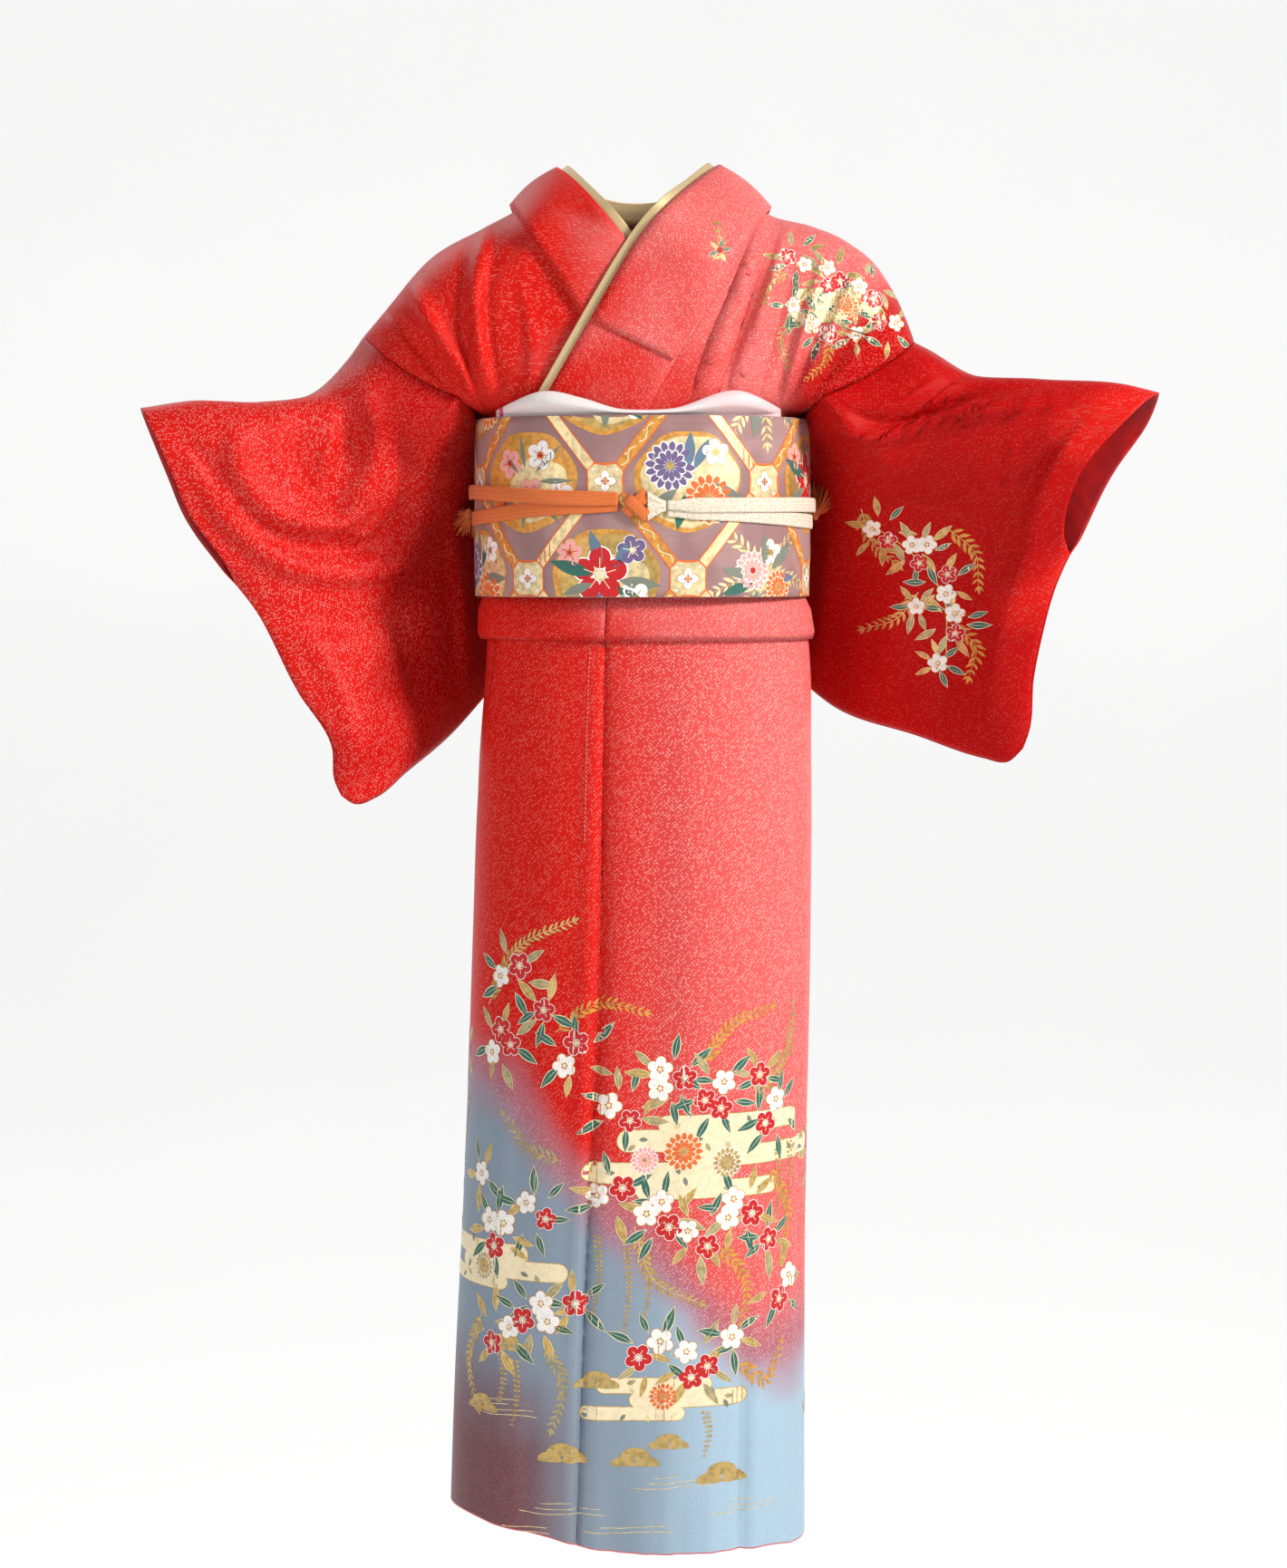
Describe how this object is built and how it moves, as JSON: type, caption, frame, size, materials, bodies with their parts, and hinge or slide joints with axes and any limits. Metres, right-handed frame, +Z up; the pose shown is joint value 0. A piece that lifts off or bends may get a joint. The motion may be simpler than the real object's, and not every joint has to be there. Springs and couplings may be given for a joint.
{
  "type": "homongi kimono with obi",
  "caption": "Formal kimono in its worn, hollow form with long bag sleeves, lapped collar, waist fold, straight lapped skirt, and a tied obi with drum, scarf and cord.",
  "frame": {"origin": "middle of the neck opening, level with the top of the collar at the sides of the neck, where the wearer's shoulders hold the garment", "axes": "+Z up along the body, +X to the wearer's left, the front faces -Y"},
  "size_m": [0.9548, 0.366, 1.3119],
  "materials": {
    "silk": "satin",
    "gold_strip": "satin",
    "brocade": "satin",
    "obi_backing": "satin",
    "scarf": "matte",
    "orange_cord": "matte",
    "cream_cord": "matte"
  },
  "bodies": {
    "root": {"bodice_left": "silk", "bodice_right": "silk", "sleeve_left": "silk", "sleeve_right": "silk", "collar": "silk", "over_collar": "silk", "date_eri": "gold_strip", "skirt_front_left": "silk", "okumi_left": "silk", "skirt_front_right": "silk", "okumi_right": "silk", "skirt_back_left": "silk", "skirt_back_right": "silk", "ohashori_front": "silk", "ohashori_okumi": "silk", "ohashori_back_left": "silk", "ohashori_back_right": "silk", "obi_wrap": "brocade", "obi_drum": "brocade", "obi_tare": "brocade", "obi_te": "obi_backing", "obiage": "scarf", "obiage_pad": "scarf", "obijime_left": "cream_cord", "obijime_right": "orange_cord", "obijime_end_left": "cream_cord", "obijime_end_right": "orange_cord", "obijime_knot": "orange_cord", "tassel_left": "orange_cord", "tassel_right": "orange_cord"}
  },
  "joints": []
}
